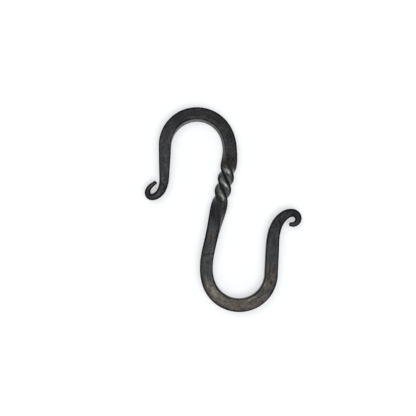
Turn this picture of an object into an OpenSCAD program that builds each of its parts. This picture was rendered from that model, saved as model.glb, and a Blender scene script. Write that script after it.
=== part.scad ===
// S hook forged from one length of square bar.
//
// The bar is drawn down to a taper at both ends, twisted one whole turn at its
// waist, bent twice the opposite way into an S, and each tip is curled outwards
// into a small scroll. The hook lies flat: +Y runs towards the upper hook, +Z is
// square to the plane of the S, and the origin is under the middle of its box.
// Lengths are in millimetres and angles in degrees.

/* [Bar] */
// Side of the square bar through the lower hook
bar = 6.3; // [5.5:0.05:7.5]
// Side of the bar through the upper hook, which is drawn down a little
upper_bar = 6.1; // [5:0.05:7]
// Radius worn along the four long edges of the bar
edge_r = 0.75; // [0.3:0.05:1.4]

/* [Bends] */
// Radius of both hooks, measured to the middle of the bar
bend_r = 15.7; // [14:0.1:24]
// Angle that the upper hook turns through
upper_turn = 192.4; // [175:0.1:200]
// Angle that the lower hook turns through
lower_turn = 190.8; // [175:0.1:200]
// Length over which the upper bend fades into the waist
upper_fade = 26; // [10:0.5:34]
// Length over which the lower bend fades into the waist
lower_fade = 24.5; // [10:0.5:34]
// Length over which each bend fades into its leg
leg_fade = 2; // [1:0.5:12]

/* [Waist] */
// Straight length between the two bends
waist = 30.9; // [24:0.1:60]
// Angle between the waist and the length of the hook
lean = 13.6; // [0:0.1:25]

/* [Twist] */
// Whole angle of the twist, in half turns so that the same faces line up again
twist_turn = 360; // [360:180:720]
// Length of bar that one full turn takes where the twist is tightest
twist_pitch = 24; // [18:0.5:40]
// How far past the upper end of the waist the middle of the tightest twist lies
twist_at = 0.6; // [-4:0.2:12]
// Angle that the upper end of the twist takes to gather pace
lead_in_turn = 79; // [40:1:100]
// Angle that the lower end of the twist takes to die away
lead_out_turn = 137; // [60:1:160]
// Angle that the bar is still rolled through at the top of the upper bend
bend_roll = 11; // [0:1:20]

/* [Upper leg and curl] */
// Straight length of the upper leg, between its bend and its curl
upper_leg = 12.9; // [4:0.1:30]
// Length over which the upper leg eases into its curl
upper_curl_lead = 13.4; // [8:0.1:20]
// Radius at the end of that lead
upper_curl_r = 5.15; // [4:0.05:12]
// Tightest radius of the upper curl
upper_eye_r = 1.95; // [1.9:0.05:4]
// Length over which the upper curl closes to its tightest radius
upper_curl_close = 1; // [0.4:0.1:4]
// Length at the tightest radius
upper_eye_run = 0.7; // [0.2:0.1:3]
// Length over which the upper curl opens out again towards its tip
upper_tail = 9.5; // [5:0.1:12]
// Radius at which the very tip of that tail flares back the other way
upper_flare_r = 9.5; // [7:0.5:60]
// Length of the drawn taper on the upper leg
upper_taper = 43; // [25:0.5:60]
// Width of the upper tip, in the plane of the hook
upper_tip_w = 1.75; // [1:0.05:2.6]
// Fullness of the upper taper: 1 is straight, more is fuller towards the tip
upper_fullness = 1.5; // [1:0.05:2]

/* [Lower leg and curl] */
// Straight length of the lower leg, between its bend and its curl
lower_leg = 11.5; // [4:0.1:30]
// Width of the lower leg, which the bending has spread a little
lower_leg_w = 6.45; // [5.5:0.05:7.5]
// Length over which the lower leg eases into its curl
lower_curl_lead = 18.9; // [12:0.2:26]
// Radius at the end of that lead
lower_curl_r = 9.8; // [7:0.1:16]
// Tightest radius of the lower curl
lower_eye_r = 2.85; // [2.8:0.05:5]
// Length over which the lower curl closes to its tightest radius
lower_curl_close = 5.8; // [2:0.1:8]
// Length at the tightest radius
lower_eye_run = 6.7; // [1:0.1:7.5]
// Length over which the lower curl opens out again towards its tip
lower_tail = 1.7; // [0.5:0.1:4]
// Length of the drawn taper on the lower leg
lower_taper = 35; // [20:0.5:50]
// Width of the lower tip, in the plane of the hook
lower_tip_w = 1.9; // [1:0.05:2.6]
// Fullness of the lower taper: 1 is straight, more is fuller towards the tip
lower_fullness = 1.7; // [1:0.05:2]

/* [Tips] */
// Thickness of both tips, square to the plane of the hook
tip_t = 2.8; // [1.5:0.1:5]
// Length of the rounded nose at each tip
nose = 0.5; // [0.3:0.05:1.5]

/* [Hidden] */

STEEL = [0.24, 0.23, 0.22];

// Powers that shape the two ends of the twist: a higher one fades more slowly
LEAD_IN_POWER = 3;
LEAD_OUT_POWER = 4;
// Share of the full section that is left at the flat end of a nose
NOSE_FLAT = 0.65;
// Most of a side that one worn edge may take up
EDGE_SHARE = 0.4;

// Fineness: most bend or roll between two sections, and most length
FACET_ANGLE = 8;
FACET_LENGTH = 3;
NOSE_STEPS = 3;
ROLL_PROBE = 0.1;
// Steps around one worn edge of the section, and points added inside each flat
EDGE_STEPS = 3;
FLAT_POINTS = 1;

DEG = 180 / PI;

// --- Path -----------------------------------------------------------------

// Length that stays at the full bend radius once both ends of a bend fade
function arc_length(turn, fade) = turn / DEG * bend_r - (fade + leg_fade) / 2;

upper_arc = arc_length(upper_turn, upper_fade);
lower_arc = arc_length(lower_turn, lower_fade);

// The bar from the upper tip to the lower one, as runs of [length, curvature at
// the end of the run]. Curvature changes evenly along a run, left is positive,
// and the flare is the curvature that the first run starts from.
FLARE = -1 / upper_flare_r;
RUNS = [
    [upper_tail, 1 / upper_eye_r],
    [upper_eye_run, 1 / upper_eye_r],
    [upper_curl_close, 1 / upper_curl_r],
    [upper_curl_lead, 0],
    [upper_leg, 0],
    [leg_fade, -1 / bend_r],
    [upper_arc, -1 / bend_r],
    [upper_fade, 0],
    [waist, 0],
    [lower_fade, 1 / bend_r],
    [lower_arc, 1 / bend_r],
    [leg_fade, 0],
    [lower_leg, 0],
    [lower_curl_lead, -1 / lower_curl_r],
    [lower_curl_close, -1 / lower_eye_r],
    [lower_eye_run, -1 / lower_eye_r],
    [lower_tail, 0],
];

// Running totals of a list of numbers or vectors, from a given start
function totals(list, start) = [
    for (i = 0, t = start; i <= len(list); t = i < len(list) ? t + list[i] : t, i = i + 1) t
];

// Numbers of the runs that start the upper bend, its fade, the waist, the lower
// bend's fade and the lower leg
UPPER_BEND = 5;
UPPER_FADE = 7;
WAIST = 8;
LOWER_BEND = 9;
LOWER_LEG = 12;

// Curvature at the start of run i
function start_curvature(i) = i == 0 ? FLARE : RUNS[i - 1][1];

RUN_AT = totals([for (r = RUNS) r[0]], 0);
TURN_AT = totals(
    [for (i = [0:len(RUNS) - 1]) RUNS[i][0] * (start_curvature(i) + RUNS[i][1]) / 2 * DEG], 0);
bar_length = RUN_AT[len(RUNS)];

// Number of the run that holds the distance s from the upper tip
function run_of(s, i = 0) = i == len(RUNS) - 1 || s < RUN_AT[i + 1] ? i : run_of(s, i + 1);

function curvature(s) =
    let (i = run_of(s), k = start_curvature(i))
    k + (RUNS[i][1] - k) * (s - RUN_AT[i]) / RUNS[i][0];

// Angle turned since the upper tip
function turned(s) =
    let (i = run_of(s))
    TURN_AT[i] + (s - RUN_AT[i]) * (start_curvature(i) + curvature(s)) / 2 * DEG;

bend_at = RUN_AT[UPPER_BEND];
upper_bend_top = (bend_at + RUN_AT[UPPER_FADE]) / 2;
waist_at = RUN_AT[WAIST];
lower_bend_at = RUN_AT[LOWER_BEND];
lower_leg_at = RUN_AT[LOWER_LEG];

// The waist runs down the page, leaning by the stated angle
function heading(s) = turned(s) - turned(waist_at) - 90 - lean;

// --- Roll of the section about the bar --------------------------------------

twist_rate = 360 / twist_pitch;
steady_turn = twist_turn - bend_roll - lead_in_turn - lead_out_turn;
steady_at = waist_at + twist_at - steady_turn / twist_rate / 2;
steady_end = steady_at + steady_turn / twist_rate;
lead_in = lead_in_turn * LEAD_IN_POWER / twist_rate;
lead_out = lead_out_turn * LEAD_OUT_POWER / twist_rate;

function ramp(t) = max(0, min(1, t));
function smooth(t) = let (r = ramp(t)) r * r * (3 - 2 * r);

// Share of the way, as a soft step, that s has come from one place to another
function passed(s, from, to) = smooth((s - from) / (to - from));

// Angle that the bar has been twisted through, left-handed, since the upper tip
function roll(s) =
    bend_roll * passed(s, bend_at, upper_bend_top)
    + lead_in_turn * pow(ramp((s - steady_at + lead_in) / lead_in), LEAD_IN_POWER)
    + steady_turn * ramp((s - steady_at) / (steady_end - steady_at))
    + lead_out_turn * (1 - pow(1 - ramp((s - steady_end) / lead_out), LEAD_OUT_POWER));

// --- Section ----------------------------------------------------------------

// A side drawn down from full to tip over a taper, at distance d from the tip
function drawn(d, taper, tip, full, fullness) =
    full - (full - tip) * pow(1 - ramp(d / taper), fullness);

// Side of the bar before its ends are drawn, which grows through the twist
function side(s) = upper_bar + (bar - upper_bar) * passed(s, steady_at, lower_bend_at);

// Side in the plane of the hook, where the lower bend has spread the bar
function spread(s) = side(s) + (lower_leg_w - bar) * passed(s, lower_bend_at, lower_leg_at);

// Share of the section that the rounded nose of a tip leaves at s
function nosed(s) =
    let (d = min(s, bar_length - s))
    NOSE_FLAT + (1 - NOSE_FLAT) * sqrt(1 - pow(1 - ramp(d / nose), 2));

function width(s) = nosed(s) * min(
    drawn(s, upper_taper, upper_tip_w, spread(s), upper_fullness),
    drawn(bar_length - s, lower_taper, lower_tip_w, spread(s), lower_fullness));

function thickness(s) = nosed(s) * min(
    drawn(s, upper_taper, tip_t, side(s), upper_fullness),
    drawn(bar_length - s, lower_taper, tip_t, side(s), lower_fullness));

// Point at an angle round worn edge c of a rectangle, where edge 0 is the one
// towards +X and +Y and the others follow it anticlockwise
function edge_point(c, w, t, r, angle) = [
    (c == 0 || c == 3 ? 1 : -1) * (w / 2 - r) + r * cos(angle),
    (c < 2 ? 1 : -1) * (t / 2 - r) + r * sin(angle),
];

// Outline of the bar, w by t, with its edges worn to radius r
function outline(w, t, r) = [
    for (c = [0:3])
    let (
        next = (c + 1) % 4,
        last = edge_point(c, w, t, r, 90 * (c + 1)),
        first = edge_point(next, w, t, r, 90 * next))
    each concat(
        [for (j = [0:EDGE_STEPS]) edge_point(c, w, t, r, 90 * (c + j / EDGE_STEPS))],
        [for (j = [1:FLAT_POINTS]) last + (first - last) * j / (FLAT_POINTS + 1)])
];

// --- Sweep ------------------------------------------------------------------

// Distance from the section at s to the next one
function stride(s) =
    let (twist = (roll(s + ROLL_PROBE) - roll(s)) / ROLL_PROBE)
    min(FACET_LENGTH, FACET_ANGLE / max(abs(curvature(s)) * DEG, twist, 1));

// Sections of one nose, as distances from its tip that close up towards the end
NOSE_AT = [for (i = [0:NOSE_STEPS]) nose * (1 - cos(90 * i / NOSE_STEPS))];
far_nose = bar_length - nose;

STATIONS = concat(
    NOSE_AT,
    [for (s = nose + stride(nose); s + stride(s) / 2 < far_nose; s = s + stride(s)) s],
    [for (i = [NOSE_STEPS:-1:0]) bar_length - NOSE_AT[i]]);

function along(s) = [cos(heading(s)), sin(heading(s))];

// Way from one station to the next, by Simpson's rule
function leap(a, b) = (b - a) / 6 * (along(a) + 4 * along((a + b) / 2) + along(b));

LEAPS = [for (i = [1:len(STATIONS) - 1]) leap(STATIONS[i - 1], STATIONS[i])];
PATH = totals(LEAPS, [0, 0]);

// Middle of section i
function heart(i) = [PATH[i].x, PATH[i].y, 0];

// Section i in space: rolled about the bar, with its first axis to the bar's left
function ring(i) =
    let (
        s = STATIONS[i],
        w = width(s),
        t = thickness(s),
        left = [-sin(heading(s)), cos(heading(s)), 0],
        up = [0, 0, 1],
        u = left * cos(roll(s)) - up * sin(roll(s)),
        v = left * sin(roll(s)) + up * cos(roll(s)))
    [for (p = outline(w, t, min(edge_r, EDGE_SHARE * min(w, t)))) heart(i) + u * p.x + v * p.y];

rings = len(STATIONS);
per_ring = 4 * (EDGE_STEPS + 1 + FLAT_POINTS);
first_heart = rings * per_ring;
last_heart = first_heart + 1;

POINTS = [for (i = [0:rings - 1]) each ring(i), heart(0), heart(rings - 1)];

// Number of point j of ring i, counting round past its last point to its first
function at(i, j) = i * per_ring + j % per_ring;

FACES = [
    for (j = [0:per_ring - 1]) each concat(
        [[first_heart, at(0, j), at(0, j + 1)]],
        [
            for (i = [0:rings - 2]) each [
                [at(i, j), at(i + 1, j), at(i + 1, j + 1)],
                [at(i, j), at(i + 1, j + 1), at(i, j + 1)],
            ]
        ],
        [[last_heart, at(rings - 1, j + 1), at(rings - 1, j)]])
];

// Middle of the box in X and Y, at the lowest point in Z
function coordinates(axis) = [for (p = POINTS) p[axis]];
function middle(list) = (min(list) + max(list)) / 2;
BASE = [middle(coordinates(0)), middle(coordinates(1)), min(coordinates(2))];

module s_hook() {
    color(STEEL)
        polyhedron(points = [for (p = POINTS) p - BASE], faces = FACES, convexity = 8);
}

s_hook();
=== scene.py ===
"""S hook forged from one length of square bar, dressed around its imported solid.

The bar is swept once more here, finely enough to carry the marks of the hammer, the worn edges and the
scale of the fire, and takes the place of the plain solid. Sizes are in millimetres and angles in degrees
unless a name says otherwise. Along the bar, distances run from the upper tip to the lower one.
"""

import logging
import math
from collections.abc import Iterator
from dataclasses import dataclass, field
from enum import Enum

import bpy
import numpy as np
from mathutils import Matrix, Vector, noise

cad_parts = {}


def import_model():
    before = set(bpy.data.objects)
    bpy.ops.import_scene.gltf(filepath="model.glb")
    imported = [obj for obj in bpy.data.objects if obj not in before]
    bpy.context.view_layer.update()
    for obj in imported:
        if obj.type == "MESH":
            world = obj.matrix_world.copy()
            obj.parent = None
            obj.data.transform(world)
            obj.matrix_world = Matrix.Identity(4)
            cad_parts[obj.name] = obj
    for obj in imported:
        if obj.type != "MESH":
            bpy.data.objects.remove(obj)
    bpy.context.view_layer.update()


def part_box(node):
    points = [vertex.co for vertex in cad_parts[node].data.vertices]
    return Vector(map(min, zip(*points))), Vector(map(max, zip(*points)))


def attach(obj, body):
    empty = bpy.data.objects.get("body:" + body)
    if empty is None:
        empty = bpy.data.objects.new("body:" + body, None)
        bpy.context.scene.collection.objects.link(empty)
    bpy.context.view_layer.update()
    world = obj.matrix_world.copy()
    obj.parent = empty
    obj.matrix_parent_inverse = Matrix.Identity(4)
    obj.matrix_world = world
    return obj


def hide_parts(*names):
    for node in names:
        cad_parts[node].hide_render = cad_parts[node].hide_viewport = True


LOG = logging.getLogger("s_hook")

NODE = "s_hook"
BODY = "root"

MM = 0.001
QUARTER = 90.0
FULL_TURN = 360.0

# Middle of a noise that runs from 0 to 1
NOISE_MIDDLE = 0.5

# Runs before the upper bend, and runs of the lower bend
RUNS_TO_BEND = 5
RUNS_OF_BEND = 3

PLACE = "bar_place"
LIFT = "paper_lift"
UV_NAME = "OFBake"

Colour = tuple[float, float, float]
Span = tuple[float, float]
Array = np.ndarray
Socket = bpy.types.NodeSocket
Reads = dict[str, Socket]


def ramp(t: Array) -> Array:
    """t kept between 0 and 1."""
    return np.clip(t, 0.0, 1.0)


def smooth(t: Array) -> Array:
    """A soft step from 0 to 1 as t goes from 0 to 1."""
    r = ramp(t)
    return r * r * (3 - 2 * r)


def bell(t: Array) -> Array:
    """A bell curve that is 1 at t = 0 and has a spread of 1."""
    return np.exp(-t * t / 2)


# --- Shape of the bar ---------------------------------------------------------------------------


@dataclass(frozen=True)
class HookEnd:
    """One bend of the hook with its leg, its curl and the taper of its tip."""

    turn: float
    fade: float
    leg: float
    curl_lead: float
    curl_r: float
    curl_close: float
    eye_r: float
    eye_run: float
    tail: float
    taper: float
    tip_w: float
    fullness: float

    def drawn(self, d: Array, tip: float, full: Array) -> Array:
        """A side of the bar that is drawn down towards the tip.

        Args:
            d: distance from the tip.
            tip: the side at the tip.
            full: the side before it was drawn.

        Returns:
            The side at each distance.
        """
        return full - (full - tip) * (1 - ramp(d / self.taper)) ** self.fullness


UPPER = HookEnd(
    turn=192.4, fade=26, leg=12.9, curl_lead=13.4, curl_r=5.15, curl_close=1.0, eye_r=1.95, eye_run=0.7,
    tail=9.5, taper=43, tip_w=1.75, fullness=1.5,
)
LOWER = HookEnd(
    turn=190.8, fade=24.5, leg=11.5, curl_lead=18.9, curl_r=9.8, curl_close=5.8, eye_r=2.85, eye_run=6.7,
    tail=1.7, taper=35, tip_w=1.9, fullness=1.7,
)


@dataclass
class BarPath:
    """The line that the middle of the bar follows, flat in the plane of the S."""

    bend_r: float = 15.7
    leg_fade: float = 2.0
    waist: float = 30.9
    lean: float = 13.6
    flare_r: float = 9.5
    step: float = 0.02

    def arc(self, end: HookEnd) -> float:
        """Length that stays at the full bend radius in one bend."""
        return math.radians(end.turn) * self.bend_r - (end.fade + self.leg_fade) / 2

    def upper_runs(self) -> list[tuple[float, float]]:
        """Runs from the upper tip to the waist.

        Returns:
            The length of each run and the curvature at its end.
        """
        bent = -1 / self.bend_r
        return [
            (UPPER.tail, 1 / UPPER.eye_r),
            (UPPER.eye_run, 1 / UPPER.eye_r),
            (UPPER.curl_close, 1 / UPPER.curl_r),
            (UPPER.curl_lead, 0.0),
            (UPPER.leg, 0.0),
            (self.leg_fade, bent),
            (self.arc(UPPER), bent),
            (UPPER.fade, 0.0),
        ]

    def lower_runs(self) -> list[tuple[float, float]]:
        """Runs from the waist to the lower tip.

        Returns:
            The length of each run and the curvature at its end.
        """
        bent = 1 / self.bend_r
        return [
            (LOWER.fade, bent),
            (self.arc(LOWER), bent),
            (self.leg_fade, 0.0),
            (LOWER.leg, 0.0),
            (LOWER.curl_lead, -1 / LOWER.curl_r),
            (LOWER.curl_close, -1 / LOWER.eye_r),
            (LOWER.eye_run, -1 / LOWER.eye_r),
            (LOWER.tail, 0.0),
        ]

    def __post_init__(self) -> None:
        """Lays the runs end to end and follows them."""
        runs = [*self.upper_runs(), (self.waist, 0.0), *self.lower_runs()]
        self.run_at = np.concatenate([[0.0], np.cumsum([length for length, _ in runs])])
        self.run_curvature = np.array([-1 / self.flare_r] + [curvature for _, curvature in runs])
        self.length = float(self.run_at[-1])
        self.leg_end = sum(length for length, _ in self.upper_runs()[:RUNS_TO_BEND])
        self.waist_at = sum(length for length, _ in self.upper_runs())
        self.upper_crown_at = (self.leg_end + self.waist_at - UPPER.fade) / 2
        self.lower_bend_at = self.waist_at + self.waist
        lower_bend = sum(length for length, _ in self.lower_runs()[:RUNS_OF_BEND])
        self.lower_leg_at = self.lower_bend_at + lower_bend
        self.fine = np.linspace(0, self.length, int(self.length / self.step) + 1)
        pace = self.fine[1] - self.fine[0]
        bent = self.curvature(self.fine)
        turned = np.concatenate([[0.0], np.cumsum((bent[1:] + bent[:-1]) / 2 * pace)])
        turned -= np.interp(self.waist_at, self.fine, turned)
        self.fine_heading = turned + math.radians(-QUARTER - self.lean)
        mid = (self.fine_heading[1:] + self.fine_heading[:-1]) / 2
        self.fine_x = np.concatenate([[0.0], np.cumsum(np.cos(mid) * pace)])
        self.fine_y = np.concatenate([[0.0], np.cumsum(np.sin(mid) * pace)])

    def curvature(self, s: Array) -> Array:
        """Curvature of the line, per millimetre, at each distance."""
        return np.interp(s, self.run_at, self.run_curvature)

    def heading(self, s: Array) -> Array:
        """Way that the bar runs, in radians from +X, at each distance."""
        return np.interp(s, self.fine, self.fine_heading)

    def place(self, s: Array) -> Array:
        """Middle of the bar at each distance, as rows of X, Y and 0."""
        x, y = np.interp(s, self.fine, self.fine_x), np.interp(s, self.fine, self.fine_y)
        return np.stack([x, y, np.zeros_like(x)], 1)


@dataclass
class BarTwist:
    """The one left-handed turn in the waist, and the roll that the upper bend keeps."""

    path: BarPath
    turn: float = FULL_TURN
    pitch: float = 24.0
    at: float = 0.6
    lead_in_turn: float = 79.0
    lead_in_power: float = 3.0
    lead_out_turn: float = 137.0
    lead_out_power: float = 4.0
    bend_roll: float = 11.0

    def __post_init__(self) -> None:
        """Works out where the steady part of the twist starts and ends."""
        rate = FULL_TURN / self.pitch
        self.steady_turn = self.turn - self.bend_roll - self.lead_in_turn - self.lead_out_turn
        self.steady_at = self.path.waist_at + self.at - self.steady_turn / rate / 2
        self.steady_end = self.steady_at + self.steady_turn / rate
        self.lead_in = self.lead_in_turn * self.lead_in_power / rate
        self.lead_out = self.lead_out_turn * self.lead_out_power / rate

    def roll(self, s: Array) -> Array:
        """How far the bar is rolled.

        Args:
            s: distances from the upper tip.

        Returns:
            The angle in degrees at each distance.
        """
        start, crown = self.path.leg_end, self.path.upper_crown_at
        into = ramp((s - self.steady_at + self.lead_in) / self.lead_in)
        out = ramp((s - self.steady_end) / self.lead_out)
        return (
            self.bend_roll * smooth((s - start) / (crown - start))
            + self.lead_in_turn * into**self.lead_in_power
            + self.steady_turn * ramp((s - self.steady_at) / (self.steady_end - self.steady_at))
            + self.lead_out_turn * (1 - (1 - out) ** self.lead_out_power)
        )

    def span(self, s: Array, lead: float) -> Array:
        """How far each distance lies within the tight part of the twist.

        Args:
            s: distances from the upper tip.
            lead: length over which the share fades beyond the tight part.

        Returns:
            1 within it, falling to 0 over the lead at both ends.
        """
        return smooth((s - self.steady_at + lead) / lead) * smooth((self.steady_end + lead - s) / lead)


@dataclass
class BarSection:
    """The square bar's two sides and worn edges at every distance along it."""

    path: BarPath
    twist: BarTwist
    bar: float = 6.3
    upper_bar: float = 6.1
    lower_leg_w: float = 6.45
    edge_r: float = 0.75
    tip_t: float = 2.8
    nose: float = 0.5
    nose_flat: float = 0.65
    edge_share: float = 0.4

    def side(self, s: Array) -> Array:
        """Side of the bar before its ends are drawn."""
        start, end = self.twist.steady_at, self.path.lower_bend_at
        return self.upper_bar + (self.bar - self.upper_bar) * smooth((s - start) / (end - start))

    def spread(self, s: Array) -> Array:
        """Side in the plane of the hook, which the lower bend has widened."""
        start, end = self.path.lower_bend_at, self.path.lower_leg_at
        return self.side(s) + (self.lower_leg_w - self.bar) * smooth((s - start) / (end - start))

    def nosed(self, s: Array) -> Array:
        """Share of the section that the rounded nose of each tip leaves."""
        d = np.minimum(s, self.path.length - s)
        return self.nose_flat + (1 - self.nose_flat) * np.sqrt(1 - (1 - ramp(d / self.nose)) ** 2)

    def size(self, s: Array) -> tuple[Array, Array]:
        """Width and thickness of the bar.

        Args:
            s: distances from the upper tip.

        Returns:
            Width in the plane of the hook, and thickness square to it.
        """
        far = self.path.length - s
        spread, side, share = self.spread(s), self.side(s), self.nosed(s)
        width = np.minimum(UPPER.drawn(s, UPPER.tip_w, spread), LOWER.drawn(far, LOWER.tip_w, spread))
        thick = np.minimum(UPPER.drawn(s, self.tip_t, side), LOWER.drawn(far, self.tip_t, side))
        return width * share, thick * share


# --- Marks of the forging and of the fire, and painted light and shade ----------------------------


class Face(Enum):
    """A long face of the bar, as the unit direction it looks along in the section.

    Going from the upper tip to the lower one, LEFT is on the left hand with TOP up.
    """

    TOP = (0, 1)
    BOTTOM = (0, -1)
    LEFT = (1, 0)
    RIGHT = (-1, 0)

    def turned(self, x: Array, y: Array) -> tuple[Array, Array]:
        """Places across the section as this face sees them.

        Args:
            x: places across the bar.
            y: places up the bar.

        Returns:
            Place across the face, and height along the way that it looks.
        """
        fx, fy = self.value
        return (x, fy * y) if fy else (y, fx * x)


class Mark(Enum):
    """What a patch on the skin of the bar is, as the name of the value that it is painted in."""

    BLOOM = "scale_bloom"
    WARM = "warm_oxide"
    # Bare steel, and painted highlights and reflections
    BARE = "bare_steel"
    STRAW = "straw_temper"
    # Soot, and painted shade along the edges and inside the curls
    SOOT = "soot"


@dataclass(frozen=True)
class Patch:
    """A soft spot on one face of the bar, drawn out along it and sheared by its slant."""

    mark: Mark
    face: Face
    at: float
    across: float
    length: float
    width: float
    strength: float
    slant: float = 0.0

    def share(self, across: Array, s: Array) -> Array:
        """How strongly each place lies in the patch."""
        along = s - self.at - self.slant * (across - self.across)
        return self.strength * bell(along / self.length) * bell((across - self.across) / self.width)


@dataclass(frozen=True)
class Spatter:
    """A cluster of small specks within one soft spot.

    Lengths and widths are shares of the speck size, and strengths are shares of the area's strength.
    """

    area: Patch
    count: int
    speck: float
    seed: int
    lengths: Span = (0.8, 3.0)
    widths: Span = (0.5, 0.95)
    strengths: Span = (0.4, 1.0)
    slant: float = 0.4

    def specks(self) -> Iterator[Patch]:
        """Every speck of the cluster.

        Returns:
            Patches in a fixed order, so that each run places them alike.
        """
        draw = np.random.default_rng(self.seed)
        area = self.area
        for _ in range(self.count):
            at, across = draw.normal(area.at, area.length), draw.normal(area.across, area.width)
            long, wide = self.speck * draw.uniform(*self.lengths), self.speck * draw.uniform(*self.widths)
            strength = area.strength * draw.uniform(*self.strengths)
            slant = draw.normal(0, self.slant)
            yield Patch(area.mark, area.face, at, across, long, wide, strength, slant)


@dataclass(frozen=True)
class Dent:
    """A narrow mark pressed into one face, which keeps a little soot."""

    area: Patch
    depth: float


def spots(mark: Mark, face: Face, *rows: tuple[float, ...]) -> tuple[Patch, ...]:
    """Patches of one mark on one face, from rows of their numbers in the order of Patch."""
    return tuple(Patch(mark, face, *row) for row in rows)


def scattered(mark: Mark, face: Face, *rows: tuple[float, ...]) -> tuple[Spatter, ...]:
    """Spatters from rows of the five numbers of their area, and then count, speck size and seed."""
    return tuple(Spatter(Patch(mark, face, *area), count, size, seed) for *area, count, size, seed in rows)


def pressed(face: Face, *rows: tuple[float, ...]) -> tuple[Dent, ...]:
    """Dents from rows of the six numbers of their area, its slant being the last, and then depth."""
    return tuple(Dent(Patch(Mark.SOOT, face, *area), depth) for *area, depth in rows)


@dataclass(frozen=True)
class Blow:
    """One flat left by the slightly crowned face of the hammer."""

    face: Face
    at: float
    across: float
    depth: float
    slope: float


@dataclass(frozen=True)
class Beat:
    """A stretch of the bar that was dressed with blows of one weight."""

    start: float
    end: float
    spacing: float
    depth: float


@dataclass
class HammerWork:
    """Flats, waves, dents and small marks that forging left on the bar.

    The first blow and the gaps are shares of a beat's spacing, and the depths are shares of its depth.
    """

    seed: int = 7
    crown_r: float = 55.0
    spare_reach: float = 3.5
    dent_reach: float = 8.0
    dent_root: float = 0.5
    off_middle: float = 0.9
    slope: float = 0.012
    first_blow: Span = (0.1, 0.9)
    depths: Span = (0.5, 1.3)
    gaps: Span = (0.6, 1.5)
    wave: float = 0.05
    wave_length: float = 9.0
    wave_width: float = 6.2
    skin: float = 0.014
    skin_length: float = 0.9
    edge_wave: float = 0.16
    edge_wave_length: float = 4.0
    beats: tuple[Beat, ...] = (
        Beat(0.5, 22.0, 2.1, 0.045),
        Beat(22.0, 44.0, 4.2, 0.035),
        Beat(44.0, 92.0, 7.0, 0.028),
        Beat(118.0, 200.0, 6.5, 0.028),
        Beat(200.0, 222.0, 4.4, 0.035),
        Beat(222.0, 245.0, 2.1, 0.045),
    )
    dents: tuple[Dent, ...] = (
        *pressed(
            Face.TOP,
            (141.5, 0.3, 0.38, 2.0, 0.72, -0.38, 0.08), (94.6, -2.45, 1.2, 0.25, 0.85, 0.0, 0.07),
            (95.2, -1.45, 0.30, 0.55, 0.90, 1.5, 0.07), (91.6, -2.0, 1.0, 0.4, 0.55, 0.6, 0.04),
            (86.4, -1.5, 1.2, 0.25, 0.40, 0.0, 0.03), (82.4, 1.1, 0.45, 0.35, 0.55, 0.0, 0.04),
            (19.4, 0.4, 0.46, 1.0, 0.90, 0.9, 0.08), (17.6, -0.6, 0.46, 0.9, 0.80, -1.2, 0.08),
            (15.2, -0.5, 0.45, 0.7, 0.60, 1.4, 0.07), (21.8, -0.7, 0.40, 0.6, 0.55, -0.8, 0.06),
            (224.6, 0.6, 0.38, 1.0, 0.70, 0.9, 0.07), (226.4, -0.3, 0.42, 1.2, 0.85, 0.8, 0.07),
            (228.1, 0.5, 0.38, 0.9, 0.70, 1.1, 0.07), (230.0, -0.2, 0.38, 0.8, 0.60, 0.7, 0.06),
            (232.2, 0.4, 0.40, 0.6, 0.60, 0.9, 0.06),
        ),
        *pressed(Face.RIGHT, (38.3, -0.6, 0.7, 0.6, 0.30, 0.0, 0.20)),
    )

    def blows(self) -> Iterator[Blow]:
        """Every blow, beat after beat, each face in turn.

        Returns:
            Blows in a fixed order, so that each run places them alike.
        """
        draw = np.random.default_rng(self.seed)
        for beat in self.beats:
            for face in Face:
                at = beat.start + beat.spacing * draw.uniform(*self.first_blow)
                while at < beat.end:
                    across = draw.normal(0, self.off_middle)
                    depth = beat.depth * draw.uniform(*self.depths)
                    yield Blow(face, at, across, depth, draw.normal(0, self.slope))
                    at += beat.spacing * draw.uniform(*self.gaps)

    def strike(self, s: Array, x: Array, y: Array, w: Array, t: Array) -> None:
        """Presses the flats and dents into the section points, in place.

        Args:
            s: distance along the bar, a row for each ring.
            x: place across the section, a row for each ring.
            y: place up the section, a row for each ring.
            w: width of each ring, as a column.
            t: thickness of each ring, as a column.
        """
        for blow in self.blows():
            reach = math.sqrt(2 * self.crown_r * blow.depth) + self.spare_reach
            near = np.abs(s[:, 0] - blow.at) < reach
            across, out = blow.face.turned(x[near], y[near])
            half = (t if blow.face.value[1] else w)[near] / 2
            ds = s[near] - blow.at
            dished = (ds**2 + (across - blow.across) ** 2) / (2 * self.crown_r)
            limit = half - blow.depth + dished + blow.slope * ds
            self.press(blow.face, near, np.minimum(out, limit), x, y)
        for dent in self.dents:
            face = dent.area.face
            reach = self.dent_reach * dent.area.length + self.spare_reach
            near = np.abs(s[:, 0] - dent.area.at) < reach
            across, out = face.turned(x[near], y[near])
            half = (t if face.value[1] else w)[near] / 2
            depth = dent.depth * dent.area.share(across, s[near]) / dent.area.strength
            fade = smooth((out / half - self.dent_root) / (1 - self.dent_root))
            self.press(face, near, out - depth * fade, x, y)

    def press(self, face: Face, near: Array, out: Array, x: Array, y: Array) -> None:
        """Sets how far the nearby rings reach along a face's way, in place.

        Args:
            face: the face that is pressed.
            near: which rings it changes.
            out: how far those rings reach.
            x: place across the section, a row for each ring.
            y: place up the section, a row for each ring.
        """
        fx, fy = face.value
        if fy:
            y[near] = fy * out
        else:
            x[near] = fx * out

    def waves(self, places: Array) -> Array:
        """How far the surface stands proud of the plain bar.

        Args:
            places: rows of place across, up and along the bar.

        Returns:
            One height for each row.
        """
        slow = places / np.array([self.wave_width, self.wave_width, self.wave_length])
        fine = places / self.skin_length
        height = [self.wave * noise.noise(p) for p in slow.tolist()]
        skin = [self.skin * noise.noise(p) for p in fine.tolist()]
        return np.array(height) + np.array(skin)


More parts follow.
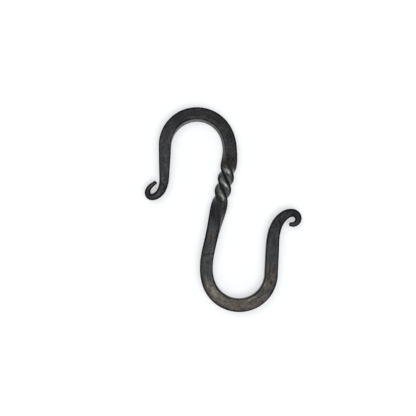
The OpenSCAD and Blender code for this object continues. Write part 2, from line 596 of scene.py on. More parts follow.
@dataclass
class SkinMarks:
    """Soot and painted shade, scale, warm oxide, and rubbed steel with painted highlights and reflections,
    as they lie on the skin of the bar.
    """

    section: BarSection
    hammer: HammerWork
    seed: int = 11
    # Soot and painted shade darken the edges; the wider darkening in the twist is painted shade between its
    # turning faces
    edge_soot_and_shade: float = 0.9
    edge_reach: float = 0.34
    edge_fade: float = 0.72
    twist_reach: float = 0.50
    curl_reach: float = 0.18
    curl_end: float = 22.0
    curl_calm: float = 2 / 3
    thin_reach: float = 0.25
    edge_break: float = 0.30
    edge_grain: float = 1.6
    edge_drift: float = 0.50
    drift_length: float = 9.0
    twist_bare: float = 0.45
    twist_shade: float = 0.74
    shade_lead: float = 4.0
    bare_lead: float = 6.0
    bare_middle: float = 0.35
    bare_fade: float = 0.6
    patch_reach: float = 4.0
    face_edge: float = 0.72
    face_fade: float = 0.2
    strays: int = 9
    stray_ends: float = 30.0
    stray_off: float = 1.5
    stray_lengths: Span = (1.5, 8.0)
    stray_widths: Span = (0.7, 2.4)
    stray_strengths: Span = (0.2, 0.6)
    patches: tuple[Patch, ...] = (
        # Pale scale in the lower bend
        *spots(
            Mark.BLOOM, Face.TOP,
            (156.0, -0.4, 2.4, 0.8, 0.36), (160.6, 0.3, 1.8, 0.70, 0.95), (161.2, 0.8, 0.9, 0.6, 0.50),
            (165.6, 0.8, 2.6, 1.2, 0.38), (164.5, 1.6, 2.0, 0.6, 0.22), (130.6, -0.8, 2.6, 1.5, 0.20),
            (141.0, 0.3, 6.0, 2.2, 0.09), (174.0, 0.4, 10.0, 2.0, 0.13), (188.0, 0.6, 3.0, 1.6, 0.12),
        ),
        # Brown oxide through the bottom of the lower bend and up its leg, with soot among it
        *spots(
            Mark.WARM, Face.TOP,
            (172.0, 0.0, 9.0, 3.2, 0.42), (184.0, -0.8, 8.0, 2.2, 0.32), (175.0, -2.6, 16.0, 0.8, 0.30),
            (202.3, 0.6, 1.9, 1.1, 1.00), (197.8, -0.6, 2.4, 1.1, 0.90),
        ),
        *spots(
            Mark.SOOT, Face.TOP,
            (202.0, 1.0, 1.4, 0.6, 0.32), (206.0, -1.5, 4.0, 1.0, 0.28), (200.5, 0.4, 3.0, 2.5, 0.20),
            (198.0, 1.0, 1.5, 0.8, 0.30),
        ),
        # Painted highlights on the faces of the twist, darker spots about them, a few paler touches, and
        # the temper colours of its lower part
        *spots(Mark.BLOOM, Face.TOP, (95.0, -1.95, 0.9, 0.20, 0.40)),
        # Painted highlights: bare steel laid where the turning faces shine
        *spots(
            Mark.BARE, Face.RIGHT,
            (99.6, 1.1, 0.50, 0.70, 0.72), (99.2, -0.2, 0.6, 0.6, 0.12), (103.2, -1.2, 0.9, 0.6, 0.25),
            (114.5, 0.4, 1.6, 0.8, 0.60),
        ),
        *spots(
            Mark.BARE, Face.BOTTOM,
            (104.8, 0.4, 0.8, 0.5, 0.36), (105.9, -0.4, 0.9, 0.65, 0.46), (107.4, -0.9, 0.7, 0.6, 0.18),
        ),
        *spots(
            Mark.BARE, Face.LEFT,
            (112.0, -0.5, 1.0, 0.7, 0.54), (97.0, 0.6, 1.4, 0.7, 0.55), (114.0, -1.1, 1.4, 0.7, 0.24),
        ),
        *spots(Mark.BARE, Face.TOP, (101.0, -0.5, 1.5, 0.8, 0.70)),
        # Darker spots that bound the painted highlights
        *spots(
            Mark.SOOT, Face.RIGHT,
            (101.2, -0.1, 0.45, 0.6, 0.50), (102.3, 0.5, 0.9, 0.8, 0.40), (99.2, -0.9, 0.9, 0.5, 0.32),
        ),
        *spots(Mark.SOOT, Face.BOTTOM, (108.7, 0.6, 0.8, 0.8, 0.45), (103.8, -0.8, 0.9, 0.9, 0.25)),
        *spots(Mark.BLOOM, Face.LEFT, (116.8, 0.0, 2.2, 1.8, 0.16)),
        *spots(Mark.STRAW, Face.BOTTOM, (106.0, 0.0, 1.6, 2.0, 0.45)),
        *spots(Mark.STRAW, Face.LEFT, (111.5, 0.0, 2.6, 2.4, 1.0)),
        # Painted reflection: bare steel on the inner faces of the upper bend and the low waist, to brighten
        # the light strip that those faces show
        *spots(
            Mark.BARE, Face.RIGHT,
            (58.0, 0.0, 9.0, 1.7, 0.60), (74.0, 0.0, 8.0, 1.7, 0.30), (86.0, 0.0, 6.0, 1.7, 0.20),
        ),
        *spots(Mark.BARE, Face.LEFT, (131.0, 0.0, 9.0, 1.7, 0.38)),
        # Light faces of the curled ends, and the dark upper tip
        *spots(
            Mark.BLOOM, Face.TOP,
            (3.8, 0.30, 2.2, 0.36, 0.40), (14.5, -0.3, 1.8, 0.35, 0.22), (242.5, 0.2, 1.4, 0.4, 0.15),
        ),
        *spots(Mark.SOOT, Face.TOP, (0.4, -0.3, 0.9, 0.8, 0.40)),
        # Painted shade on the inner faces of both curls, and darker and paler stretches along the top
        *spots(Mark.SOOT, Face.LEFT, (10.0, 0.0, 5.0, 3.0, 0.85)),
        *spots(
            Mark.SOOT, Face.TOP,
            (10.8, 0.7, 1.6, 0.8, 0.38), (7.4, -0.3, 2.6, 1.2, 0.55), (230.0, 0.0, 3.5, 4.0, 0.06),
            (235.5, 0.0, 2.6, 4.0, 0.62), (236.5, -0.6, 1.5, 0.7, 0.40), (240.0, -0.4, 1.3, 0.9, 0.40),
            (51.0, 0.0, 5.0, 5.0, 0.35), (56.5, 0.3, 5.0, 4.0, 0.28), (46.0, -0.8, 3.0, 1.8, 0.20),
            (26.5, 0.2, 3.0, 1.4, 0.24), (217.5, 0.7, 4.0, 1.8, 0.33),
        ),
        # Painted shade on the inner face of the lower curl
        *spots(Mark.SOOT, Face.RIGHT, (238.0, 0.0, 4.5, 3.0, 0.85)),
        *spots(
            Mark.BLOOM, Face.TOP,
            (77.0, 0.5, 6.0, 2.2, 0.09), (71.0, -2.1, 8.0, 0.45, 0.24), (91.5, 0.3, 3.5, 2.5, 0.13),
            (95.0, 0.3, 2.2, 2.2, 0.10),
        ),
        # Edges with more soot and painted shade, or less
        *spots(
            Mark.SOOT, Face.TOP,
            (133.0, -2.2, 7.0, 0.7, 0.34), (148.0, -2.5, 7.0, 0.5, 0.25), (180.0, -2.5, 18.0, 0.4, 0.30),
            (181.0, 2.6, 8.0, 0.45, -0.34), (90.5, -2.6, 4.5, 1.3, -0.55), (166.0, 3.1, 9.0, 0.9, -0.40),
            (192.5, 3.1, 2.5, 0.9, -0.30), (210.0, 3.1, 12.0, 0.9, -0.40), (30.0, -2.9, 14.0, 0.9, -0.35),
            (62.0, -3.0, 14.0, 0.9, -0.35),
        ),
    )
    spatters: tuple[Spatter, ...] = (
        *scattered(
            Mark.BLOOM, Face.TOP,
            (183.6, 2.0, 1.9, 0.15, 0.95, 7, 0.24, 21), (194.6, 2.1, 0.9, 0.15, 0.90, 5, 0.26, 22),
            (195.9, 0.2, 0.9, 0.50, 0.75, 5, 0.26, 23), (197.4, -1.0, 0.7, 0.40, 0.60, 4, 0.26, 28),
            (160.5, 0.3, 2.0, 0.60, 0.60, 16, 0.26, 29), (176.0, 0.4, 9.0, 1.7, 0.38, 60, 0.26, 32),
            (195.5, 0.0, 4.5, 1.8, 0.36, 30, 0.26, 39),
        ),
        *scattered(
            Mark.SOOT, Face.TOP,
            (158.0, -1.8, 4.0, 0.60, 0.40, 16, 0.26, 33), (172.0, 0.4, 10.0, 1.8, 0.52, 90, 0.28, 24),
            (134.0, 0.0, 10.0, 1.8, 0.40, 80, 0.28, 30), (193.0, 0.0, 4.0, 1.6, 0.52, 30, 0.32, 31),
            (201.0, 0.0, 3.0, 1.6, 0.45, 22, 0.30, 40), (222.0, 0.0, 4.5, 1.6, 0.42, 26, 0.30, 41),
            (91.0, 0.5, 4.0, 2.0, 0.38, 24, 0.30, 42), (60.0, 0.0, 24.0, 1.9, 0.25, 70, 0.28, 25),
            (210.0, 0.0, 12.0, 1.9, 0.25, 40, 0.28, 26),
        ),
        *scattered(Mark.SOOT, Face.RIGHT, (101.0, 0.0, 2.6, 1.6, 0.42, 16, 0.30, 27)),
        *scattered(Mark.BARE, Face.RIGHT, (101.5, 0.0, 2.6, 1.6, 0.20, 12, 0.28, 34)),
        *scattered(Mark.SOOT, Face.BOTTOM, (106.5, 0.0, 2.6, 1.6, 0.42, 18, 0.30, 35)),
        *scattered(Mark.BARE, Face.BOTTOM, (106.0, 0.0, 2.6, 1.6, 0.20, 12, 0.28, 36)),
        *scattered(Mark.SOOT, Face.LEFT, (112.0, 0.0, 2.6, 1.6, 0.42, 18, 0.30, 37)),
        *scattered(Mark.BARE, Face.LEFT, (112.0, 0.0, 2.6, 1.6, 0.20, 12, 0.28, 38)),
    )

    def all_patches(self) -> Iterator[Patch]:
        """The patches, the specks, the dents' soot and stray spots on the other faces.

        Returns:
            Patches in a fixed order, so that each run places them alike.
        """
        yield from self.patches
        for spatter in self.spatters:
            yield from spatter.specks()
        for dent in self.hammer.dents:
            yield dent.area
        draw = np.random.default_rng(self.seed)
        ends = self.stray_ends, self.section.path.length - self.stray_ends
        for face in (Face.BOTTOM, Face.LEFT, Face.RIGHT):
            for mark in (Mark.WARM, Mark.BLOOM):
                for _ in range(self.strays):
                    at, across = draw.uniform(*ends), draw.normal(0, self.stray_off)
                    length, width = draw.uniform(*self.stray_lengths), draw.uniform(*self.stray_widths)
                    strength = draw.uniform(*self.stray_strengths)
                    yield Patch(mark, face, at, across, length, width, strength)

    def edges(self, x: Array, y: Array, s: Array) -> Array:
        """Soot and painted shade along the four worn edges, broken up by wear, wider in the twist.

        Args:
            x: place across the section.
            y: place up the section.
            s: distance along the bar.

        Returns:
            A share for each point.
        """
        w, t = self.section.size(s)
        inward = (w / 2 - np.abs(x)) + (t / 2 - np.abs(y))
        fine = np.stack([x, y, s / self.edge_grain], 1)
        slow = np.stack([x, y, s], 1) / self.drift_length
        broken = self.edge_break * np.array([noise.noise(p) for p in fine.tolist()])
        broken += self.edge_drift * np.array([noise.noise(p) for p in slow.tolist()])
        twisted = self.section.twist.span(s, self.shade_lead)
        reach = self.edge_reach + self.twist_reach * twisted
        soot = self.edge_soot_and_shade + (self.twist_shade - self.edge_soot_and_shade) * twisted
        from_tip = np.minimum(s, self.section.path.length - s) / self.curl_end
        curl = 1 - smooth((from_tip - self.curl_calm) / (1 - self.curl_calm))
        reach = reach * ramp(np.minimum(w, t) / self.section.bar + self.thin_reach) + self.curl_reach * curl
        return soot * (1 - smooth((inward - reach + broken) / self.edge_fade))

    def rubbed(self, x: Array, y: Array, s: Array) -> Array:
        """How bare the faces of the twist are rubbed, which is most along their middles.

        Args:
            x: place across the section.
            y: place up the section.
            s: distance along the bar.

        Returns:
            A share for each point.
        """
        w, t = self.section.size(s)
        off = 2 * np.minimum(np.abs(x) / w, np.abs(y) / t)
        middle = 1 - smooth((off - self.bare_middle) / self.bare_fade)
        return self.twist_bare * self.section.twist.span(s, self.bare_lead) * middle

    def values(self, places: Array) -> dict[Mark, Array]:
        """Strength of every mark at every point.

        Args:
            places: rows of place across, up and along the bar.

        Returns:
            A share between 0 and 1 for each point, under each mark.
        """
        x, y, s = places.T
        w, t = self.section.size(s)
        found = {mark: np.zeros(len(s)) for mark in Mark}
        for patch in self.all_patches():
            reach = self.patch_reach * (patch.length + abs(patch.slant) * patch.width)
            near = np.abs(s - patch.at) < reach
            across, out = patch.face.turned(x[near], y[near])
            half = (t if patch.face.value[1] else w)[near] / 2
            facing = smooth((out / half - self.face_edge) / self.face_fade)
            found[patch.mark][near] += patch.share(across, s[near]) * facing
        # Edges darkened with soot and painted shade
        found[Mark.SOOT] += self.edges(x, y, s)
        found[Mark.BARE] += self.rubbed(x, y, s)
        return {mark: ramp(value) for mark, value in found.items()}


# --- Finishes -----------------------------------------------------------------------------------


class Graph:
    """A small helper that places and joins the nodes of one material."""

    def __init__(self, material: bpy.types.Material) -> None:
        """Empties the material's tree and keeps it.

        Args:
            material: the material that the graph fills.
        """
        material.use_nodes = True
        self.tree = material.node_tree
        self.tree.nodes.clear()

    def node(self, kind: str, **settings: object) -> bpy.types.Node:
        """Adds a node.

        Args:
            kind: the node's type.
            settings: its properties.

        Returns:
            The new node.
        """
        made = self.tree.nodes.new(kind)
        for name, value in settings.items():
            setattr(made, name, value)
        return made

    def feed(self, value: object, socket: Socket) -> None:
        """Joins a socket to another, or sets it to a plain value.

        Args:
            value: the other socket, or the value.
            socket: the input that takes it.
        """
        if isinstance(value, Socket):
            self.tree.links.new(value, socket)
        else:
            socket.default_value = value

    def maths(self, operation: str, a: object, b: object = 0.0, c: object = 0.0) -> Socket:
        """A Math node.

        Args:
            operation: what it works out.
            a: its first input.
            b: its second input.
            c: its third input.

        Returns:
            The result.
        """
        made = self.node("ShaderNodeMath", operation=operation)
        for value, socket in zip((a, b, c), made.inputs):
            self.feed(value, socket)
        return made.outputs[0]

    def times(self, a: object, b: object) -> Socket:
        """The product of two values."""
        return self.maths("MULTIPLY", a, b)

    def scaled(self, vector: object, scale: tuple[float, float, float]) -> Socket:
        """A vector stretched along its three axes.

        Args:
            vector: the vector.
            scale: a factor for each axis.

        Returns:
            The stretched vector.
        """
        made = self.node("ShaderNodeVectorMath", operation="MULTIPLY")
        self.feed(vector, made.inputs[0])
        self.feed(scale, made.inputs[1])
        return made.outputs[0]

    def toned(self, colour: object, factor: object) -> Socket:
        """A colour made lighter or darker.

        Args:
            colour: the colour.
            factor: what it is multiplied by.

        Returns:
            The new colour.
        """
        made = self.node("ShaderNodeVectorMath", operation="SCALE")
        self.feed(colour, made.inputs[0])
        self.feed(factor, made.inputs["Scale"])
        return made.outputs[0]

    def noise(self, vector: object, scale: float, detail: float, rough: float) -> Socket:
        """Noise between 0 and 1.

        Args:
            vector: where it is read.
            scale: features in a unit of that vector.
            detail: octaves.
            rough: how strong the finer octaves are.

        Returns:
            The noise's factor.
        """
        made = self.node("ShaderNodeTexNoise")
        self.feed(vector, made.inputs["Vector"])
        self.feed(scale, made.inputs["Scale"])
        self.feed(detail, made.inputs["Detail"])
        self.feed(rough, made.inputs["Roughness"])
        return made.outputs["Fac"]

    def between(self, value: object, span: Span, ends: Span = (0.0, 1.0)) -> Socket:
        """A soft step as a value crosses a span.

        Args:
            value: the value.
            span: where the step starts and ends.
            ends: the result before and after it.

        Returns:
            The step's result.
        """
        made = self.node("ShaderNodeMapRange", interpolation_type="SMOOTHSTEP")
        names = ("Value", "From Min", "From Max", "To Min", "To Max")
        for name, each in zip(names, (value, *span, *ends)):
            self.feed(each, made.inputs[name])
        return made.outputs["Result"]

    def mixed(self, share: object, a: object, b: object) -> Socket:
        """A colour between two others.

        Args:
            share: how much of the second colour it has.
            a: the first colour.
            b: the second colour.

        Returns:
            The mixed colour.
        """
        made = self.node("ShaderNodeMix", data_type="RGBA")
        self.feed(share, made.inputs["Factor"])
        for value, name in ((a, "A"), (b, "B")):
            socket = next(i for i in made.inputs if i.name == name and i.type == "RGBA")
            self.feed((*value, 1.0) if isinstance(value, tuple) else value, socket)
        return next(o for o in made.outputs if o.type == "RGBA")

    def attribute(self, name: str, output: str = "Fac") -> Socket:
        """One of the mesh's own painted values."""
        return self.node("ShaderNodeAttribute", attribute_name=name).outputs[output]

    def backdrop_rays(self) -> Socket:
        """Picks out the rays that see the backdrop lifted.

        Returns:
            1 for camera, glossy and transmission rays, and 0 for the rest.
        """
        rays = self.node("ShaderNodeLightPath").outputs
        mirrored = self.maths("MAXIMUM", rays["Is Glossy Ray"], rays["Is Transmission Ray"])
        return self.maths("MAXIMUM", rays["Is Camera Ray"], mirrored)


@dataclass(frozen=True)
class Grain:
    """How one noise of the finish is laid: features per millimetre across and along the bar."""

    across: float
    along: float
    octaves: float
    rough: float

    def read(self, g: Graph, place: Socket) -> Socket:
        """The noise at each place on the bar."""
        stretched = g.scaled(place, (self.across, self.across, self.along))
        return g.noise(stretched, 1.0, self.octaves, self.rough)


@dataclass(frozen=True)
class BlackenedSteel:
    """Steel blackened in the fire and brushed, with warm oxide, bare steel with painted highlights and
    reflections, and soot with painted shade.
    """

    name: str = "blackened_steel"
    dark_oxide: Colour = (0.021, 0.021, 0.022)
    grey_oxide: Colour = (0.039, 0.039, 0.041)
    pale_bloom: Colour = (0.120, 0.112, 0.090)
    warm_oxide: Colour = (0.066, 0.050, 0.038)
    # Bare steel, also the colour of the painted highlights and reflections
    bare_steel: Colour = (0.270, 0.275, 0.280)
    straw_steel: Colour = (0.262, 0.260, 0.226)
    # Soot, also the colour of the painted shade
    soot: Colour = (0.010, 0.010, 0.0115)
    edge_tint: Colour = (0.8, 0.8, 0.82)
    roughness: float = 0.42
    rough_spread: float = 0.30
    relief: float = 0.02
    scratch_height: float = 0.5
    streak_height: float = 1.2
    pit_height: float = 0.7
    pit_span: Span = (0.30, 0.42)
    patchiness: float = 1.4
    streak_share: float = 0.6
    mottle_share: float = 0.4
    oxide_span: Span = (0.38, 0.62)
    cover_span: Span = (0.30, 0.62)
    warm_cover: Span = (0.35, 1.0)
    bloom_cover: Span = (0.45, 1.0)
    speck_span: Span = (0.28, 0.72)
    speck_tone: Span = (0.60, 1.46)
    bare_span: Span = (0.25, 0.90)
    scratch_span: Span = (0.32, 0.60)
    scratch_cover: Span = (0.6, 1.0)
    streak: Grain = Grain(1.9, 0.10, 4.0, 0.62)
    scratch: Grain = Grain(7.0, 0.35, 3.0, 0.6)
    mottle: Grain = Grain(0.42, 0.20, 5.0, 0.6)
    speck: Grain = Grain(1.9, 1.3, 2.0, 0.65)
    blotch: Grain = Grain(1.5, 0.42, 3.0, 0.6)
    pits: Grain = Grain(2.3, 2.3, 3.0, 0.55)

    def colour(self, g: Graph, read: Reads) -> Socket:
        """Lays the oxides, the scale, the rubbed steel with its painted highlights and reflections, and the
        soot with its painted shade over one another.

        Args:
            g: the material's graph.
            read: the noises by name.

        Returns:
            The colour.
        """
        slow = g.times(read["mottle"], self.mottle_share)
        tone = g.maths("MULTIPLY_ADD", read["streak"], self.streak_share, slow)
        colour = g.mixed(g.between(tone, self.oxide_span), self.dark_oxide, self.grey_oxide)
        cover = g.between(read["mottle"], self.cover_span, self.warm_cover)
        colour = g.mixed(g.times(g.attribute(Mark.WARM.value), cover), colour, self.warm_oxide)
        cover = g.between(read["streak"], self.cover_span, self.bloom_cover)
        colour = g.mixed(g.times(g.attribute(Mark.BLOOM.value), cover), colour, self.pale_bloom)
        colour = g.toned(colour, g.between(read["speck"], self.speck_span, self.speck_tone))
        # Bare steel and painted highlights and reflections
        steel = g.mixed(g.attribute(Mark.STRAW.value), self.bare_steel, self.straw_steel)
        colour = g.mixed(self.bare(g, read), colour, steel)
        # Soot and painted shade
        return g.mixed(g.attribute(Mark.SOOT.value), colour, self.soot)

    def bare(self, g: Graph, read: Reads) -> Socket:
        """Bare steel with painted highlights and reflections, scratched and blotched where the rubbing
        missed.

        Args:
            g: the material's graph.
            read: the noises by name.

        Returns:
            Its share.
        """
        blotched = g.maths("MULTIPLY_ADD", read["blotch"], self.patchiness, g.attribute(Mark.BARE.value))
        share = g.between(g.maths("SUBTRACT", blotched, self.patchiness * NOISE_MIDDLE), self.bare_span)
        return g.times(share, g.between(read["scratch"], self.scratch_span, self.scratch_cover))

    def material(self) -> bpy.types.Material:
        """Builds the finish as a node material.

        Returns:
            The material.
        """
        made = bpy.data.materials.new(self.name)
        g = Graph(made)
        place = g.attribute(PLACE, "Vector")
        names = ("streak", "scratch", "mottle", "speck", "blotch")
        read = {name: getattr(self, name).read(g, place) for name in names}

        spread = g.times(g.maths("SUBTRACT", read["scratch"], NOISE_MIDDLE), self.rough_spread)
        rough = g.maths("ADD", spread, self.roughness)

        streaks = g.times(read["streak"], self.streak_height)
        height = g.maths("MULTIPLY_ADD", read["scratch"], self.scratch_height, streaks)
        pits = g.between(self.pits.read(g, place), self.pit_span)
        height = g.maths("MULTIPLY_ADD", pits, self.pit_height, height)
        bump = g.node("ShaderNodeBump")
        g.feed(1.0, bump.inputs["Strength"])
        g.feed(self.relief * MM, bump.inputs["Distance"])
        g.feed(height, bump.inputs["Height"])

        shader = g.node("ShaderNodeBsdfPrincipled")
        shader.inputs["Metallic"].default_value = 1.0
        shader.inputs["Specular Tint"].default_value = (*self.edge_tint, 1.0)
        g.feed(self.colour(g, read), shader.inputs["Base Color"])
        g.feed(rough, shader.inputs["Roughness"])
        g.feed(bump.outputs["Normal"], shader.inputs["Normal"])
        out = g.node("ShaderNodeOutputMaterial")
        g.feed(shader.outputs[0], out.inputs["Surface"])
        return made


@dataclass(frozen=True)
class WhitePaper:
    """Plain white paper under and around the hook, which keeps its shadow."""

    name: str = "white_paper"
    colour: Colour = (0.66, 0.67, 0.69)

    def material(self) -> bpy.types.Material:
        """Builds the paper, with a lift that only the camera, reflections and clear things see.

        Returns:
            The material.
        """
        made = bpy.data.materials.new(self.name)
        g = Graph(made)
        paper = g.node("ShaderNodeBsdfDiffuse")
        g.feed((*self.colour, 1.0), paper.inputs["Color"])
        glow = g.node("ShaderNodeEmission")
        g.feed(g.times(g.backdrop_rays(), g.attribute(LIFT)), glow.inputs["Strength"])
        both = g.node("ShaderNodeAddShader")
        g.feed(paper.outputs[0], both.inputs[0])
        g.feed(glow.outputs[0], both.inputs[1])
        out = g.node("ShaderNodeOutputMaterial")
        g.feed(both.outputs[0], out.inputs["Surface"])
        return made


# --- The hook -----------------------------------------------------------------------------------


@dataclass
class Unwrapping:
    """Lays the skin of the bar out flat, in rows one above the other, at one scale."""

    rows: int = 3
    row_gap: float = 27.0
    margin: float = 0.5
    cap_at: float = 81.5
    start_cap_at: float = 2.5
    end_cap_at: float = 8.0
    cap_room: float = 3.0

    def layout(self, rings: Array, s: Array, quads: Array, around: int) -> Array:
        """Where the corners of the four-sided faces and the end caps lie.

        Args:
            rings: points of every ring in its own plane, as rows of place across and up.
            s: distance along the bar of every ring.
            quads: ring and unwrapped point numbers of each face's corners.
            around: points in a ring.

        Returns:
            Rows of U and V between 0 and 1, four for each face and then three for each end triangle.
        """
        row_length = s[-1] / self.rows
        size = self.cap_at + self.cap_room
        closed = np.concatenate([rings, rings[:, :1]], 1)
        sides = np.linalg.norm(np.diff(closed, axis=1), axis=2)
        girth = np.concatenate([np.zeros((len(s), 1)), np.cumsum(sides, 1)], 1)
        ring, point = quads[..., 0], quads[..., 1]
        row = np.minimum((s[ring.min(1)] / row_length).astype(int), self.rows - 1)[:, None]
        u = (row + 1) * row_length - s[ring] + self.margin
        v = girth[ring, point] + row * self.row_gap + self.margin
        skin = np.stack([u, v], 2).reshape(-1, 2)
        caps = []
        j = np.arange(around)
        k = (j + 1) % around
        ends = ((rings[0], k, j, -1, self.start_cap_at), (rings[-1], j, k, 1, self.end_cap_at))
        for rim, first, second, side, at in ends:
            corners = [np.zeros((around, 2)), rim[first], rim[second]]
            caps.append(np.stack(corners, 1).reshape(-1, 2) * [side, 1] + [at, self.cap_at])
        return np.concatenate([skin, *caps]) / size


@dataclass
class ForgedHook:
    """The whole hook: one bar, twisted, bent twice, drawn and curled at both ends."""

    path: BarPath = field(default_factory=BarPath)
    arc_steps: int = 10
    flat_steps: int = 15
    nose_steps: int = 8
    pace: float = 0.30
    fine_pace: float = 0.20
    tight_share: float = 2.0
    twist_lead: float = 10.0
    end_calm: float = 3.0

    def __post_init__(self) -> None:
        """Lays the twist and the section along the path."""
        self.twist = BarTwist(self.path)
        self.section = BarSection(self.path, self.twist)
        self.hammer = HammerWork()
        self.marks = SkinMarks(self.section, self.hammer)

    def stations(self) -> Array:
        """Distances of the rings, closer together in the twist, the curls and the noses.

        Returns:
            The distances from the upper tip, in order.
        """
        nose, far = self.section.nose, self.path.length
        steps = np.arange(self.nose_steps + 1) / self.nose_steps
        nose_at = nose * (1 - np.cos(steps * math.pi / 2))
        at, found = nose, []
        while True:
            tight = abs(float(self.path.curvature(np.array(at)))) > self.tight_share / self.path.bend_r
            twisting = float(self.twist.span(np.array(at), self.twist_lead)) > 0
            at += self.fine_pace if tight or twisting else self.pace
            if at > far - nose - self.fine_pace / 2:
                break
            found.append(at)
        return np.concatenate([nose_at, found, far - nose_at[::-1]])

    def outline(self) -> tuple[Array, Array]:
        """The section's points as shares of its sides and its edge radius.

        Returns:
            Shares of the width and of the edge radius across, and the same up, as rows of two.
        """
        signs = [(1, 1), (-1, 1), (-1, -1), (1, -1)]
        across, up = [], []
        for c, (sx, sy) in enumerate(signs):
            angles = np.radians(QUARTER * (c + np.arange(self.arc_steps + 1) / self.arc_steps))
            across += [(sx / 2, math.cos(a) - sx) for a in angles]
            up += [(sy / 2, math.sin(a) - sy) for a in angles]
            nx, ny = signs[(c + 1) % len(signs)]
            turn = math.radians(QUARTER * (c + 1))
            last = np.array([(sx / 2, math.cos(turn) - sx), (sy / 2, math.sin(turn) - sy)])
            first = np.array([(nx / 2, math.cos(turn) - nx), (ny / 2, math.sin(turn) - ny)])
            for j in range(1, self.flat_steps):
                point = last + (first - last) * j / self.flat_steps
                across.append(tuple(point[0]))
                up.append(tuple(point[1]))
        return np.array(across), np.array(up)

    def edge_radius(self, s: Array, w: Array, t: Array) -> Array:
        """Radius of the worn edges, which varies a little along the bar.

        Args:
            s: distance of each ring.
            w: width of each ring.
            t: thickness of each ring.

        Returns:
            The radius at each ring.
        """
        wave = [noise.noise((0.0, 0.0, a / self.hammer.edge_wave_length)) for a in s.tolist()]
        radius = self.section.edge_r * (1 + self.hammer.edge_wave * np.array(wave))
        return np.minimum(radius, self.section.edge_share * np.minimum(w, t))

    def sweep(self) -> tuple[Array, Array, Array]:
        """Every ring of the bar with the marks of the forging.

        Returns:
            The rings' points in space, their places across, up and along the bar, and the distances.
        """
        s = self.stations()
        w, t = self.section.size(s)
        r = self.edge_radius(s, w, t)
        across, up = self.outline()
        x = w[:, None] * across[:, 0] + r[:, None] * across[:, 1]
        y = t[:, None] * up[:, 0] + r[:, None] * up[:, 1]
        along = np.repeat(s[:, None], x.shape[1], 1)
        plain = np.stack([x, y, along], 2)
        self.hammer.strike(along, x, y, w[:, None], t[:, None])
        out = np.stack([x / w[:, None], y / t[:, None]], 2)
        out /= np.linalg.norm(out, axis=2, keepdims=True)
        calm = smooth(np.minimum(s, self.path.length - s) / self.end_calm)[:, None]
        lift = self.hammer.waves(plain.reshape(-1, 3)).reshape(x.shape) * calm
        x += lift * out[..., 0]
        y += lift * out[..., 1]
        heading, roll = self.path.heading(s), np.radians(self.twist.roll(s))[:, None]
        left = np.stack([-np.sin(heading), np.cos(heading), np.zeros_like(s)], 1)
        above = np.array([0.0, 0.0, 1.0])
        u = left * np.cos(roll) - above * np.sin(roll)
        v = left * np.sin(roll) + above * np.cos(roll)
        points = self.path.place(s)[:, None] + x[..., None] * u[:, None] + y[..., None] * v[:, None]
        return points, plain, s

    def faces(self, rings: int, around: int) -> tuple[Array, Array, Array]:
        """Corners of every face.

        Args:
            rings: number of rings.
            around: points in a ring.

        Returns:
            The four-sided faces and the three-sided ends as vertex numbers, and the four-sided faces'
            corners once more as numbers of a ring and of a point that counts on past the ring's last.
        """
        i, j = np.meshgrid(np.arange(rings - 1), np.arange(around), indexing="ij")
        ring = np.stack([i, i, i + 1, i + 1], 2).reshape(-1, 4)
        point = np.stack([j, j + 1, j + 1, j], 2).reshape(-1, 4)
        quads = ring * around + point % around
        j = np.arange(around)
        k = (j + 1) % around
        last = (rings - 1) * around
        first_heart, last_heart = rings * around, rings * around + 1
        start = np.stack([np.full(around, first_heart), k, j], 1)
        end = np.stack([np.full(around, last_heart), last + j, last + k], 1)
        return quads, np.concatenate([start, end]), np.stack([ring, point], 2)

    def paint(self, mesh: bpy.types.Mesh, places: Array) -> None:
        """Stores each point's place on the bar and the marks on its skin.

        Args:
            mesh: the bar's mesh.
            places: rows of place across, up and along the bar.
        """
        made = mesh.attributes.new(PLACE, "FLOAT_VECTOR", "POINT")
        made.data.foreach_set("vector", places.astype(np.float32).ravel())
        for mark, value in self.marks.values(places).items():
            layer = mesh.attributes.new(mark.value, "FLOAT", "POINT")
            layer.data.foreach_set("value", value.astype(np.float32))

    def build(self) -> bpy.types.Object:
        """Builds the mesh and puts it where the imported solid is.

        Returns:
            The hook as an object.
        """
        points, plain, s = self.sweep()
        rings, around = points.shape[:2]
        hearts = points[[0, -1]].mean(1)
        vertices = np.concatenate([points.reshape(-1, 3), hearts])
        heart_place = np.array([[0, 0, s[0]], [0, 0, s[-1]]])
        places = np.concatenate([plain.reshape(-1, 3), heart_place])
        quads, ends, corners = self.faces(rings, around)
        low, high = (np.array(corner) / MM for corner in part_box(NODE))
        own_low, own_high = vertices.min(0), vertices.max(0)
        shift = (low + high) / 2 - (own_low + own_high) / 2
        shift[2] = low[2] - own_low[2]
        mesh = bpy.data.meshes.new("forged_hook")
        mesh.from_pydata(((vertices + shift) * MM).tolist(), [], quads.tolist() + ends.tolist())
        mesh.polygons.foreach_set("use_smooth", [True] * len(quads) + [False] * len(ends))
        flat = Unwrapping().layout(plain[..., :2], s, corners, around)
        layer = mesh.uv_layers.new(name=UV_NAME)
        layer.data.foreach_set("uv", flat.astype(np.float32).ravel())
        self.paint(mesh, places)
        mesh.validate()
        hook = bpy.data.objects.new("forged_hook", mesh)
        bpy.context.scene.collection.objects.link(hook)
        box = (own_high - own_low).round(2)
        LOG.info("forged_hook: %d rings of %d points, box %s", rings, around, box)
        return hook

    def dress(self, hook: bpy.types.Object, finish: BlackenedSteel) -> None:
        """Gives the hook its finish and its place in the frame.

        Args:
            hook: the hook's object.
            finish: what its skin is made of.
        """
        hook.data.materials.append(finish.material())
        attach(hook, BODY)
        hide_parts(NODE)


# --- Studio -------------------------------------------------------------------------------------


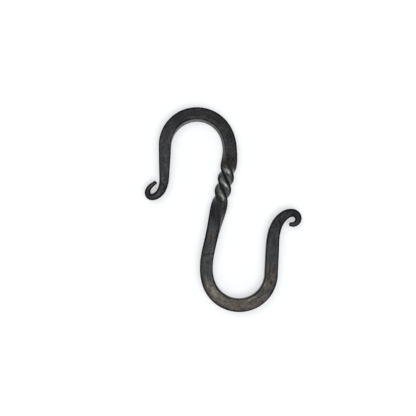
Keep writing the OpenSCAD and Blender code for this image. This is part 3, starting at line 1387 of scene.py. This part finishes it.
@dataclass(frozen=True)
class Lamp:
    """A soft box that hangs over the hook and looks at it.

    It hangs at a compass angle, anticlockwise from +X, and at a tilt away from straight above. Its depth
    runs towards the point straight above the hook and its breadth across that. Its distance and sides
    are in metres.
    """

    name: str
    compass: float
    tilt: float
    distance: float
    depth: float
    breadth: float
    radiance: float

    def build(self) -> None:
        """Adds the lamp."""
        turn, lean = math.radians(self.compass), math.radians(self.tilt)
        way = Vector((math.sin(lean) * math.cos(turn), math.sin(lean) * math.sin(turn), math.cos(lean)))
        light = bpy.data.lights.new(self.name, "AREA")
        light.shape = "RECTANGLE"
        light.size, light.size_y = self.breadth, self.depth
        light.energy = self.radiance * math.pi * self.breadth * self.depth
        lamp = bpy.data.objects.new(self.name, light)
        lamp.location = way * self.distance
        lamp.rotation_euler = (-way).to_track_quat("-Z", "Y").to_euler()
        bpy.context.scene.collection.objects.link(lamp)


@dataclass
class Studio:
    """White paper that curves up all round, soft lamps above and the camera. Sizes are in metres."""

    paper_r: float = 3.0
    cove_r: float = 0.8
    wall_height: float = 1.9
    cove_steps: int = 12
    floor_steps: int = 14
    turns: int = 72
    floor_lift: float = 0.435
    wall_lift: float = 0.78
    lamp_reach: tuple[float, float] = (0.3, 1.9)
    room_light: float = 0.42
    camera_height: float = 0.4865
    camera_lens: float = 85.0
    camera_place: tuple[float, float] = (-0.00744, 0.00077)
    lamps: tuple[Lamp, ...] = (
        Lamp("key_lamp", -55, 18, 1.1, 0.55, 0.62, 4.4),
        Lamp("rear_lamp", 130, 21, 1.1, 0.55, 0.50, 3.2),
    )

    def paper(self) -> None:
        """Lays the floor level with the lowest point of the hook and bends it up into a wall."""
        flat_r = self.paper_r - self.cove_r
        flat = [(flat_r * (i + 1) / self.floor_steps, 0.0) for i in range(self.floor_steps)]
        angles = [math.pi / 2 * (i + 1) / self.cove_steps for i in range(self.cove_steps)]
        cove = [(flat_r + self.cove_r * math.sin(a), self.cove_r * (1 - math.cos(a))) for a in angles]
        profile = [*flat, *cove, (self.paper_r, self.wall_height)]
        around = [2 * math.pi * j / self.turns for j in range(self.turns)]
        points = [(r * math.cos(a), r * math.sin(a), z) for r, z in profile for a in around]
        sides = [
            (i * self.turns + j, i * self.turns + k, (i + 1) * self.turns + k, (i + 1) * self.turns + j)
            for i in range(len(profile) - 1)
            for j, k in zip(range(self.turns), [*range(1, self.turns), 0])
        ]
        mesh = bpy.data.meshes.new("paper")
        mesh.from_pydata(points, [], [tuple(range(self.turns)), *sides])
        mesh.polygons.foreach_set("use_smooth", [False] + [True] * len(sides))
        start, end = self.lamp_reach
        away = smooth((np.repeat([r for r, _ in profile], self.turns) - start) / (end - start))
        lift = mesh.attributes.new(LIFT, "FLOAT", "POINT")
        lift.data.foreach_set("value", self.floor_lift + (self.wall_lift - self.floor_lift) * away)
        mesh.materials.append(WhitePaper().material())
        paper = bpy.data.objects.new("paper", mesh)
        bpy.context.scene.collection.objects.link(paper)

    def room(self) -> None:
        """A dim even room above the paper."""
        world = bpy.data.worlds.new("room")
        bpy.context.scene.world = world
        world.use_nodes = True
        back = world.node_tree.nodes["Background"]
        back.inputs["Color"].default_value = (1, 1, 1, 1)
        back.inputs["Strength"].default_value = self.room_light

    def camera(self) -> None:
        """Hangs the camera above the hook, looking straight down."""
        data = bpy.data.cameras.new("camera")
        data.lens = self.camera_lens
        camera = bpy.data.objects.new("camera", data)
        camera.location = (*self.camera_place, self.camera_height)
        bpy.context.scene.collection.objects.link(camera)
        bpy.context.scene.camera = camera

    def build(self) -> None:
        """Sets up the paper, the room, the lamps and the camera."""
        self.paper()
        self.room()
        for lamp in self.lamps:
            lamp.build()
        self.camera()
        bpy.context.scene.view_settings.view_transform = "Standard"
        LOG.info("studio: %d lamps", len(self.lamps))


def main() -> None:
    """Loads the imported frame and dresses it."""
    logging.basicConfig(level=logging.INFO, format="%(name)s: %(message)s")
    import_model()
    hook = ForgedHook()
    hook.dress(hook.build(), BlackenedSteel())
    Studio().build()


if __name__ == "__main__":
    main()
